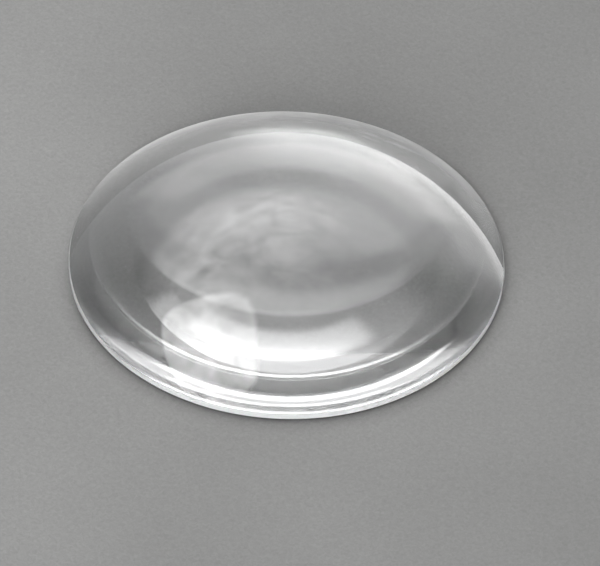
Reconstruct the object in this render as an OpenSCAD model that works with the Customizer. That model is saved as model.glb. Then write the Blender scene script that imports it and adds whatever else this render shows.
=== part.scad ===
// Plano-convex lens: one flat face, one spherical face and a thin ground edge.
// The flat face lies on z = 0 and the optical axis is +Z.

/* [Optics] */
// Diameter of the lens across its ground edge
lens_d = 50; // [20:1:60]
// Focal length, which sets how steep the dome is
focal_length = 68; // [60:1:400]
// Refractive index of the glass
glass_index = 1.523; // [1.46:0.001:1.85]

/* [Edge] */
// Thickness of the glass at its edge, from the flat face to the rim of the dome
edge_t = 0.7; // [0.6:0.05:6]
// Leg of the 45 degree chamfer around the flat face
flat_chamfer = 0.15; // [0.05:0.05:0.25]
// Height of the narrow bevel that breaks the rim of the dome
dome_bevel_h = 0.15; // [0.05:0.05:0.25]

/* [Hidden] */
$fn = 180;

lens_r = lens_d / 2;
// The steepest dome allowed: its radius always exceeds the lens's own by this factor
least_dome_ratio = 1.02;
// Lensmaker's rule for one curved face: R = (n - 1) * f
dome_r = max((glass_index - 1) * focal_length, least_dome_ratio * lens_r);
dome_centre_z = edge_t - sqrt(pow(dome_r, 2) - pow(lens_r, 2));
centre_t = dome_centre_z + dome_r;

// The dome's bevel slopes midway between the dome's own rim and the upright edge
rim_slope = asin(lens_r / dome_r);
bevel_slope = (rim_slope + 90) / 2;
edge_top_z = edge_t - dome_bevel_h;
// The blank stands taller than the lens, so that only the sphere trims its top
blank_top_z = centre_t + dome_bevel_h;
bevel_run_in = (blank_top_z - edge_top_z) / tan(bevel_slope);

// The ground blank: a disc with a chamfered foot and a steep bevel above its upright edge
module edge_blank() {
    rotate_extrude()
        polygon([
            [0, 0],
            [lens_r - flat_chamfer, 0],
            [lens_r, flat_chamfer],
            [lens_r, edge_top_z],
            [lens_r - bevel_run_in, blank_top_z],
            [0, blank_top_z]
        ]);
}

module lens() {
    color("lightcyan", 0.5)
        intersection() {
            edge_blank();
            translate([0, 0, dome_centre_z])
                sphere(r = dome_r);
        }
}

lens();
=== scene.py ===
import math

import bpy
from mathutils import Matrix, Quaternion, Vector


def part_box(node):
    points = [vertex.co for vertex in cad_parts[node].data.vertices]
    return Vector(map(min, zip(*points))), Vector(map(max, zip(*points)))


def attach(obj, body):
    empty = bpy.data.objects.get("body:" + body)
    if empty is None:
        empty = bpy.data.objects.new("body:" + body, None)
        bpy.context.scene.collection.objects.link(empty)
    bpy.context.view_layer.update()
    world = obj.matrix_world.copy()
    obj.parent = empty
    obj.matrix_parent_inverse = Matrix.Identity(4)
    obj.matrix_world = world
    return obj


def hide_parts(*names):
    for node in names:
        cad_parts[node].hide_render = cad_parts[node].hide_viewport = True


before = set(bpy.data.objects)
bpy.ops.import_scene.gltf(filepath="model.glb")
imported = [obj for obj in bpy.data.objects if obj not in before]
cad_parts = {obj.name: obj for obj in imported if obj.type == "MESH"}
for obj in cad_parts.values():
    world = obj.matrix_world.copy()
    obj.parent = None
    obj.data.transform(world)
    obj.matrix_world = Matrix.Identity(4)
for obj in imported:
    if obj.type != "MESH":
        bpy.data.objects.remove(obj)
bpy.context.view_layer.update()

lensLow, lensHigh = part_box("lens")
lensRadius = (lensHigh[0] - lensLow[0]) / 2
lensHeight = lensHigh[2] - lensLow[2]
mm = 0.001


def report(stage):
    print("stage:", stage)


# shared node helpers

def newMaterial(name):
    material = bpy.data.materials.new(name)
    material.use_nodes = True
    return material, material.node_tree.nodes, material.node_tree.links


def setSockets(node, values):
    for socketName, value in values.items():
        node.inputs[socketName].default_value = value


def noiseNode(nodes, links, coords, facts):
    noise = nodes.new("ShaderNodeTexNoise")
    scale, detail, roughness, distortion = facts
    setSockets(noise, {"Scale": scale, "Detail": detail, "Roughness": roughness, "Distortion": distortion})
    links.new(coords, noise.inputs["Vector"])
    return noise.outputs["Fac"]


def remap(nodes, links, value, fromLow, fromHigh, toLow, toHigh):
    ranger = nodes.new("ShaderNodeMapRange")
    setSockets(ranger, {"From Min": fromLow, "From Max": fromHigh, "To Min": toLow, "To Max": toHigh})
    links.new(value, ranger.inputs["Value"])
    return ranger.outputs["Result"]


def mathNode(nodes, links, operation, *values):
    node = nodes.new("ShaderNodeMath")
    node.operation = operation
    for slot, value in enumerate(values):
        if isinstance(value, (int, float)):
            node.inputs[slot].default_value = value
        else:
            links.new(value, node.inputs[slot])
    return node.outputs["Value"]


def splitAxes(nodes, links, coords):
    split = nodes.new("ShaderNodeSeparateXYZ")
    links.new(coords, split.inputs["Vector"])
    return split.outputs


def distanceFrom(nodes, links, coords, centre):
    # how far each place lies from an upright line through the centre, which is given in lens radii
    offset = nodes.new("ShaderNodeVectorMath")
    offset.operation = "MULTIPLY_ADD"
    offset.inputs[1].default_value = (1.0, 1.0, 0.0)
    offset.inputs[2].default_value = (-centre[0] * lensRadius, -centre[1] * lensRadius, 0.0)
    links.new(coords, offset.inputs[0])
    away = nodes.new("ShaderNodeVectorMath")
    away.operation = "LENGTH"
    links.new(offset.outputs["Vector"], away.inputs[0])
    return away.outputs["Value"]


def mappedCoords(nodes, links, coords, sockets):
    mapping = nodes.new("ShaderNodeMapping")
    setSockets(mapping, sockets)
    links.new(coords, mapping.inputs["Vector"])
    return mapping.outputs["Vector"]


# the lens: a half section turned about the optical axis

lensBody = {
    "edgeThickness": 0.7 * mm,     # from the flat face to the rim of the dome
    "flatChamfer": 0.15 * mm,      # leg of the chamfer round the flat face
    "domeBevelHeight": 0.15 * mm,  # height of the bevel under the dome's rim
    "aroundCount": 448,            # faces round the axis
    "domeRings": 150,              # rings from the bevel to the crown
    "sharpAngle": 9.0,             # degrees, past which an edge shows as a crease
}


def domeShape():
    sag = lensHeight - lensBody["edgeThickness"]
    domeRadius = (lensRadius ** 2 + sag ** 2) / (2 * sag)
    return domeRadius, lensHeight - domeRadius


def bevelTopPoint(domeRadius, domeCentreZ):
    # the bevel leans midway between the dome's rim and the upright edge, and ends on the dome
    rimSlope = math.asin(lensRadius / domeRadius)
    lean = (rimSlope + math.pi / 2) / 2
    along = Vector((-math.cos(lean), math.sin(lean)))
    foot = Vector((lensRadius, lensBody["edgeThickness"] - lensBody["domeBevelHeight"] - domeCentreZ))
    middle = foot.dot(along)
    reach = math.sqrt(middle ** 2 - foot.length_squared + domeRadius ** 2) - middle
    return foot + along * reach


def groundProfile():
    bevelLow = lensBody["edgeThickness"] - lensBody["domeBevelHeight"]
    chamfer = lensBody["flatChamfer"]
    return [(lensRadius - chamfer, 0.0), (lensRadius, chamfer), (lensRadius, bevelLow)]


def domeProfile():
    domeRadius, domeCentreZ = domeShape()
    topSlope = math.asin(bevelTopPoint(domeRadius, domeCentreZ)[0] / domeRadius)
    rings = lensBody["domeRings"]
    slopes = [topSlope * (1 - ring / rings) for ring in range(rings)]
    return [(domeRadius * math.sin(s), domeCentreZ + domeRadius * math.cos(s)) for s in slopes]


def turnedFaces(ringCount, around):
    faces = []
    for ring in range(ringCount - 1):
        for step in range(around):
            low = ring * around
            high = low + around
            following = (step + 1) % around
            faces.append((low + step, low + following, high + following, high + step))
    return faces


def makeLens(materials):
    ground = groundProfile()
    rings = ground + domeProfile()
    around = lensBody["aroundCount"]
    angles = [2 * math.pi * step / around for step in range(around)]
    points = [(r * math.cos(a), r * math.sin(a), z) for r, z in rings for a in angles]
    faces = turnedFaces(len(rings), around)
    crown = len(points)
    points.append((0.0, 0.0, lensHeight))
    lastRing = crown - around
    for step in range(around):
        faces.append((lastRing + step, lastRing + (step + 1) % around, crown))
    flatMiddle = len(points)
    points.append((0.0, 0.0, 0.0))
    for step in range(around):
        faces.append(((step + 1) % around, step, flatMiddle))
    mesh = bpy.data.meshes.new("lens_glass")
    mesh.from_pydata(points, [], faces)
    for material in materials:
        mesh.materials.append(material)
    groundFaces = len(ground) * around
    for face in mesh.polygons:
        face.use_smooth = True
        face.material_index = 1 if face.index < groundFaces else 0
    mesh.set_sharp_from_angle(angle=math.radians(lensBody["sharpAngle"]))
    lens = bpy.data.objects.new("lens_glass", mesh)
    bpy.context.scene.collection.objects.link(lens)
    return lens


# polished glass, with fine dust and the faint film that handling leaves on it
# each noise is its scale in patches for each metre, then its detail, roughness and distortion

polishedGlass = {
    "tint": (0.992, 0.996, 1.0, 1.0),
    "index": 1.523,
    "dustSheen": 1.0,            # shows where the dome is seen from its side
    "dustRoughness": 0.3,
    "filmAmount": 1.0,           # most coat that the film reaches
    "filmIndex": 2.1,
    "filmRoughness": 0.5,
    "filmCentre": (0.28, 0.50),  # in lens radii from the optical axis
    "filmReach": (0.55, 0.95),   # lens radii from that centre between which the film thins out
    "rimReach": (0.80, 0.94),    # lens radii from the axis between which the film closes up
    "smearStretch": (0.55, 1.6, 1.0),
    "smearTurn": 12.0,           # degrees
    "smears": {"noise": (85.0, 6.0, 0.65, 1.6), "range": (0.38, 0.62), "share": (0.15, 1.0)},
    "streaks": {"noise": (420.0, 4.0, 0.6, 1.0), "range": (0.34, 0.66), "share": (0.35, 1.0)},
}


def filmMask(nodes, links, coords):
    # 1 in the middle of the handled patch, 0 past its reach, inside the glass and on the flat face
    fromPatch = distanceFrom(nodes, links, coords, polishedGlass["filmCentre"])
    near, far = [share * lensRadius for share in polishedGlass["filmReach"]]
    patch = remap(nodes, links, fromPatch, near, far, 1.0, 0.0)
    height = splitAxes(nodes, links, coords)["Z"]
    edgeTop = lensBody["edgeThickness"]
    onDome = remap(nodes, links, height, edgeTop / 2, edgeTop, 0.0, 1.0)
    backfacing = nodes.new("ShaderNodeNewGeometry").outputs["Backfacing"]
    outside = mathNode(nodes, links, "SUBTRACT", 1.0, backfacing)
    return mathNode(nodes, links, "MULTIPLY", patch, mathNode(nodes, links, "MULTIPLY", onDome, outside))


def rimFilm(nodes, links, coords):
    fromAxis = distanceFrom(nodes, links, coords, (0.0, 0.0))
    near, far = [share * lensRadius for share in polishedGlass["rimReach"]]
    return remap(nodes, links, fromAxis, near, far, 0.0, 1.0)


def wipedFilm(nodes, links, coords):
    wiped = mappedCoords(nodes, links, coords, {
        "Scale": polishedGlass["smearStretch"],
        "Rotation": (0.0, 0.0, math.radians(polishedGlass["smearTurn"])),
    })
    layers = []
    for layer in (polishedGlass["smears"], polishedGlass["streaks"]):
        noise = noiseNode(nodes, links, wiped, layer["noise"])
        layers.append(remap(nodes, links, noise, *layer["range"], *layer["share"]))
    return mathNode(nodes, links, "MULTIPLY", *layers)


def polishedGlassMaterial():
    material, nodes, links = newMaterial("polished_crown_glass")
    shader = nodes["Principled BSDF"]
    setSockets(shader, {
        "Base Color": polishedGlass["tint"],
        "IOR": polishedGlass["index"],
        "Roughness": 0.0,
        "Transmission Weight": 1.0,
        "Coat Roughness": polishedGlass["filmRoughness"],
        "Coat IOR": polishedGlass["filmIndex"],
        "Sheen Weight": polishedGlass["dustSheen"],
        "Sheen Roughness": polishedGlass["dustRoughness"],
    })
    coords = nodes.new("ShaderNodeTexCoord").outputs["Object"]
    film = mathNode(
        nodes, links, "MAXIMUM",
        wipedFilm(nodes, links, coords), rimFilm(nodes, links, coords),
    )
    film = mathNode(nodes, links, "MULTIPLY", film, filmMask(nodes, links, coords))
    coat = remap(nodes, links, film, 0.0, 1.0, 0.0, polishedGlass["filmAmount"])
    links.new(coat, shader.inputs["Coat Weight"])
    return material


# ground glass on the edge, the chamfer and the bevel

groundGlass = {
    "tint": (0.97, 0.98, 0.985, 1.0),
    "roughness": (0.6, 0.85),
    "grain": (9000.0, 3.0, 0.5, 0.0),
    "grainRange": (0.3, 0.7),
    "grainDepth": 0.01 * mm,
}


def groundGlassMaterial():
    material, nodes, links = newMaterial("ground_glass_edge")
    shader = nodes["Principled BSDF"]
    setSockets(shader, {
        "Base Color": groundGlass["tint"],
        "IOR": polishedGlass["index"],
        "Transmission Weight": 1.0,
    })
    coords = nodes.new("ShaderNodeTexCoord").outputs["Object"]
    grain = noiseNode(nodes, links, coords, groundGlass["grain"])
    roughness = remap(nodes, links, grain, *groundGlass["grainRange"], *groundGlass["roughness"])
    links.new(roughness, shader.inputs["Roughness"])
    bump = nodes.new("ShaderNodeBump")
    bump.inputs["Distance"].default_value = groundGlass["grainDepth"]
    links.new(grain, bump.inputs["Height"])
    links.new(bump.outputs["Normal"], shader.inputs["Normal"])
    return material


# the table top, a matt grey board, with painted light falling off across it and a painted contact shadow
# beside the lens

tableTop = {
    "halfWidth": 3.0,
    "gap": 0.04 * mm,            # the lens rests on the board's grain, with air between
    "colour": (0.295, 0.295, 0.291),
    "roughness": 0.8,
    "specular": 0.25,
    "grainTurn": (0.7, 0.4, 0.6),  # radians, so that the noise's own lattice doesn't line up
    "grain": {"noise": (2400.0, 3.0, 0.6, 0.8), "contrast": 0.11},
    "blotch": {"noise": (24.0, 3.0, 0.5, 0.0), "contrast": 0.10},
    "noiseRange": (0.25, 0.75),
    "paintedShadowReach": 2.5 * mm,    # how far out the painted contact shadow beside the lens fades
    "paintedShadowSamples": 8,
    "paintedShadowDepth": 1.6,
    "paintedShadowSpan": (-0.5, 0.3),  # lens radii, from the full painted shadow in front to none behind
    "paintedFallOff": (1.03, 0.86),     # painted light: the board's colour is brighter to the left and darker to the right
    "paintedFallOffReach": 1.5,         # in lens radii
}


def paintedContactShadow(nodes, links, coords):
    # painted contact shadow: darkens the board's colour where the lens's edge stands close over it, on the
    # near side only, and leaves it plain under the glass
    nearness = nodes.new("ShaderNodeAmbientOcclusion")
    nearness.samples = tableTop["paintedShadowSamples"]
    nearness.inputs["Distance"].default_value = tableTop["paintedShadowReach"]
    paintedShadow = mathNode(nodes, links, "POWER", nearness.outputs["AO"], tableTop["paintedShadowDepth"])
    fromAxis = distanceFrom(nodes, links, coords, (0.0, 0.0))
    beside = mathNode(nodes, links, "GREATER_THAN", fromAxis, lensRadius - lensBody["flatChamfer"])
    front, behind = [share * lensRadius for share in tableTop["paintedShadowSpan"]]
    nearSide = remap(nodes, links, splitAxes(nodes, links, coords)["Y"], front, behind, 1.0, 0.0)
    share = mathNode(nodes, links, "MULTIPLY", beside, nearSide)
    plain = mathNode(nodes, links, "SUBTRACT", 1.0, share)
    return mathNode(nodes, links, "MULTIPLY_ADD", paintedShadow, share, plain)


# painted light: scales the board's colour from brighter on the left to darker on the right
def paintedSideLight(nodes, links, coords):
    reach = tableTop["paintedFallOffReach"] * lensRadius
    return remap(nodes, links, splitAxes(nodes, links, coords)["X"], -reach, reach, *tableTop["paintedFallOff"])


def boardShade(nodes, links, coords, layer):
    noise = noiseNode(nodes, links, coords, layer["noise"])
    contrast = layer["contrast"]
    return remap(nodes, links, noise, *tableTop["noiseRange"], 1 - contrast, 1 + contrast)


def tableMaterial():
    material, nodes, links = newMaterial("grey_board")
    shader = nodes["Principled BSDF"]
    setSockets(shader, {"Roughness": tableTop["roughness"], "Specular IOR Level": tableTop["specular"]})
    coords = nodes.new("ShaderNodeTexCoord").outputs["Object"]
    askew = mappedCoords(nodes, links, coords, {"Rotation": tableTop["grainTurn"]})
    tone = boardShade(nodes, links, askew, tableTop["grain"])
    # grain and blotches, then painted light falling off across the board and a painted contact shadow
    # beside the lens
    shades = [
        boardShade(nodes, links, coords, tableTop["blotch"]),
        paintedSideLight(nodes, links, coords),
        paintedContactShadow(nodes, links, coords),
    ]
    for shade in shades:
        tone = mathNode(nodes, links, "MULTIPLY", tone, shade)
    board = nodes.new("ShaderNodeVectorMath")
    board.operation = "SCALE"
    board.inputs[0].default_value = tableTop["colour"]
    links.new(tone, board.inputs["Scale"])
    links.new(board.outputs["Vector"], shader.inputs["Base Color"])
    return material


def makeTable():
    reach = tableTop["halfWidth"]
    level = lensLow[2] - tableTop["gap"]
    sides = [(-reach, -reach), (reach, -reach), (reach, reach), (-reach, reach)]
    corners = [(across, along, level) for across, along in sides]
    mesh = bpy.data.meshes.new("table_top")
    mesh.from_pydata(corners, [], [(0, 1, 2, 3)])
    mesh.materials.append(tableMaterial())
    table = bpy.data.objects.new("table_top", mesh)
    bpy.context.scene.collection.objects.link(table)


# a light tent round the table: each panel is a soft-edged patch of its wall
# bearings are in degrees from +X, heights in degrees above the table

tentPanels = {
    "window": {
        "bearing": -104.0, "halfWidth": 26.0, "heights": (-20.0, 45.0), "softness": 9.0, "glow": 8.0,
    },
    "windowSill": {
        "bearing": -106.0, "halfWidth": 34.0, "heights": (-20.0, 8.0), "softness": 7.0, "glow": 6.0,
    },
    "farWall": {
        "bearing": 92.0, "halfWidth": 58.0, "heights": (-20.0, 60.0), "softness": 20.0, "glow": 0.66,
    },
    "farStrip": {
        "bearing": 88.0, "halfWidth": 34.0, "heights": (9.5, 28.0), "softness": 7.0, "glow": 1.0,
    },
    "rightStrip": {
        "bearing": 55.0, "halfWidth": 17.0, "heights": (-20.0, 18.0), "softness": 8.0, "glow": 0.9,
    },
    "farHeader": {
        "bearing": 102.0, "halfWidth": 60.0, "heights": (38.0, 57.0), "softness": 6.0, "glow": 0.9,
    },
}

# panels and cards that only reflections show
# the cards hang overhead, at places in metres sideways for each metre of height

mirrorPanels = {
    "horizon": {
        "bearing": 60.0, "halfWidth": 48.0, "heights": (-12.0, 22.0), "softness": 14.0, "glow": 0.7,
    },
    "rightSkirting": {
        "bearing": 52.0, "halfWidth": 24.0, "heights": (-12.0, 4.0), "softness": 5.0, "glow": 1.8,
    },
}

ceilingCards = {
    "softbox": {
        "centre": (-0.59, -0.34), "halfWidth": 0.41, "softness": 0.12, "glow": 4.4, "unevenness": 0.5,
    },
    "cloth": {
        "centre": (-0.27, 0.56), "halfWidth": 0.5, "softness": 1.1, "glow": 2.7, "unevenness": 0.95,
    },
}

ceilingCloth = {
    "folds": (4.6, 6.0, 0.55, 0.5),  # scale, detail, roughness and distortion
    "foldRange": (0.3, 0.7),
}

roomLight = {
    "level": 0.12,
    "lowest": 0.02,  # least rise that the ceiling's plane is worked out for
    "backdrop": (0.30, 0.30, 0.296, 1.0),
}


def softStep(nodes, links, value, fromLow, fromHigh):
    ranger = nodes.new("ShaderNodeMapRange")
    ranger.interpolation_type = "SMOOTHSTEP"
    setSockets(ranger, {"From Min": fromLow, "From Max": fromHigh})
    links.new(value, ranger.inputs["Value"])
    return ranger.outputs["Result"]


def softBetween(nodes, links, value, low, high, half):
    over = softStep(nodes, links, value, low - half, low + half)
    past = softStep(nodes, links, value, high - half, high + half)
    return mathNode(nodes, links, "MULTIPLY", over, mathNode(nodes, links, "SUBTRACT", 1.0, past))


def tentPanel(nodes, links, bearing, height, panelFacts):
    half = math.radians(panelFacts["softness"]) / 2
    offset = mathNode(nodes, links, "SUBTRACT", bearing, math.radians(panelFacts["bearing"]))
    wrapped = mathNode(nodes, links, "WRAP", offset, math.pi, -math.pi)
    sideways = mathNode(nodes, links, "ABSOLUTE", wrapped)
    edge = math.radians(panelFacts["halfWidth"])
    low, high = [math.radians(h) for h in panelFacts["heights"]]
    past = softStep(nodes, links, sideways, edge - half, edge + half)
    across = mathNode(nodes, links, "SUBTRACT", 1.0, past)
    upright = softBetween(nodes, links, height, low, high, half)
    shape = mathNode(nodes, links, "MULTIPLY", across, upright)
    return mathNode(nodes, links, "MULTIPLY", shape, panelFacts["glow"])


def ceilingPlane(nodes, links, east, north, up):
    above = mathNode(nodes, links, "MAXIMUM", up, roomLight["lowest"])
    return [mathNode(nodes, links, "DIVIDE", direction, above) for direction in (east, north)]


def clothFolds(nodes, links, places):
    plane = nodes.new("ShaderNodeCombineXYZ")
    for slot, place in enumerate(places):
        links.new(place, plane.inputs[slot])
    folds = noiseNode(nodes, links, plane.outputs["Vector"], ceilingCloth["folds"])
    return remap(nodes, links, folds, *ceilingCloth["foldRange"], -1.0, 1.0)


def ceilingCard(nodes, links, places, folds, cardFacts):
    squares = []
    for place, centre in zip(places, cardFacts["centre"]):
        offset = mathNode(nodes, links, "SUBTRACT", place, centre)
        share = mathNode(nodes, links, "DIVIDE", offset, cardFacts["halfWidth"])
        square = mathNode(nodes, links, "MULTIPLY", share, share)
        squares.append(mathNode(nodes, links, "MULTIPLY", square, square))
    reach = mathNode(nodes, links, "POWER", mathNode(nodes, links, "ADD", *squares), 0.25)
    fade = cardFacts["softness"] / 2
    inside = mathNode(nodes, links, "SUBTRACT", 1.0, softStep(nodes, links, reach, 1 - fade, 1 + fade))
    patchy = mathNode(nodes, links, "MULTIPLY_ADD", folds, cardFacts["unevenness"], 1.0)
    glow = mathNode(nodes, links, "MULTIPLY", patchy, cardFacts["glow"])
    return mathNode(nodes, links, "MULTIPLY", inside, glow)


def makeRoomLight():
    world = bpy.data.worlds.new("light_tent")
    world.use_nodes = True
    bpy.context.scene.world = world
    nodes = world.node_tree.nodes
    links = world.node_tree.links
    direction = nodes.new("ShaderNodeTexCoord").outputs["Generated"]
    east, north, up = splitAxes(nodes, links, direction)
    bearing = mathNode(nodes, links, "ARCTAN2", north, east)
    height = mathNode(nodes, links, "ARCSINE", up)
    places = ceilingPlane(nodes, links, east, north, up)
    folds = clothFolds(nodes, links, places)
    level = roomLight["level"]
    for facts in tentPanels.values():
        level = mathNode(nodes, links, "ADD", level, tentPanel(nodes, links, bearing, height, facts))
    lightPath = nodes.new("ShaderNodeLightPath")
    # a ray that has passed through the glass counts as glossy too, so it's taken out
    glossy, through = [lightPath.outputs[ray] for ray in ("Is Glossy Ray", "Is Transmission Ray")]
    mirrored = mathNode(nodes, links, "MULTIPLY", glossy, mathNode(nodes, links, "SUBTRACT", 1.0, through))
    cards = [tentPanel(nodes, links, bearing, height, facts) for facts in mirrorPanels.values()]
    cards += [ceilingCard(nodes, links, places, folds, facts) for facts in ceilingCards.values()]
    for card in cards:
        level = mathNode(nodes, links, "MULTIPLY_ADD", card, mirrored, level)
    tent = nodes["Background"]
    tent.inputs["Color"].default_value = (1.0, 1.0, 1.0, 1.0)
    links.new(level, tent.inputs["Strength"])
    backdrop = nodes.new("ShaderNodeBackground")
    backdrop.inputs["Color"].default_value = roomLight["backdrop"]
    choose = nodes.new("ShaderNodeMixShader")
    links.new(lightPath.outputs["Is Camera Ray"], choose.inputs["Fac"])
    links.new(tent.outputs["Background"], choose.inputs[1])
    links.new(backdrop.outputs["Background"], choose.inputs[2])
    links.new(choose.outputs["Shader"], nodes["World Output"].inputs["Surface"])


# the camera looks down at the lens from the front

cameraFacts = {
    "height": 44.33,              # degrees above the table
    "roll": 1.91,                 # degrees that the table tips to the right
    "distance": 30 * lensRadius,
    "radiusShare": 0.3631,        # the lens's radius as a share of the picture's width
    "aimRight": 0.0615,           # the middle of the picture, in lens radii right of the lens's middle
    "aimDown": 0.0860,
    "sensorWidth": 36.0,
    "nearClip": 0.01,
}


def makeCamera():
    height = math.radians(cameraFacts["height"])
    back = Vector((0.0, -math.cos(height), math.sin(height)))
    turn = back.to_track_quat("Z", "Y") @ Quaternion((0, 0, 1), math.radians(cameraFacts["roll"]))
    right = turn @ Vector((1, 0, 0))
    down = turn @ Vector((0, -1, 0))
    aim = right * cameraFacts["aimRight"] * lensRadius + down * cameraFacts["aimDown"] * lensRadius
    camera = bpy.data.cameras.new("camera")
    camera.sensor_width = cameraFacts["sensorWidth"]
    framed = cameraFacts["radiusShare"] * cameraFacts["distance"] / lensRadius
    camera.lens = cameraFacts["sensorWidth"] * framed
    camera.clip_start = cameraFacts["nearClip"]
    holder = bpy.data.objects.new("camera", camera)
    holder.location = aim + back * cameraFacts["distance"]
    holder.rotation_euler = turn.to_euler()
    bpy.context.scene.collection.objects.link(holder)
    bpy.context.scene.camera = holder


lightBounces = 24    # light goes round inside the rim many times before it leaves


def allowDeepBounces():
    cycles = bpy.context.scene.cycles
    cycles.max_bounces = lightBounces
    cycles.transmission_bounces = lightBounces
    cycles.glossy_bounces = lightBounces
    cycles.blur_glossy = 0.0    # keeps the bright bands that the lens casts under itself crisp


bpy.context.scene.view_settings.view_transform = "Standard"
makeCamera()
report("camera")
lensPiece = makeLens([polishedGlassMaterial(), groundGlassMaterial()])
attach(lensPiece, "root")
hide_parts("lens")
report("lens")
makeTable()
makeRoomLight()
allowDeepBounces()
report("studio")
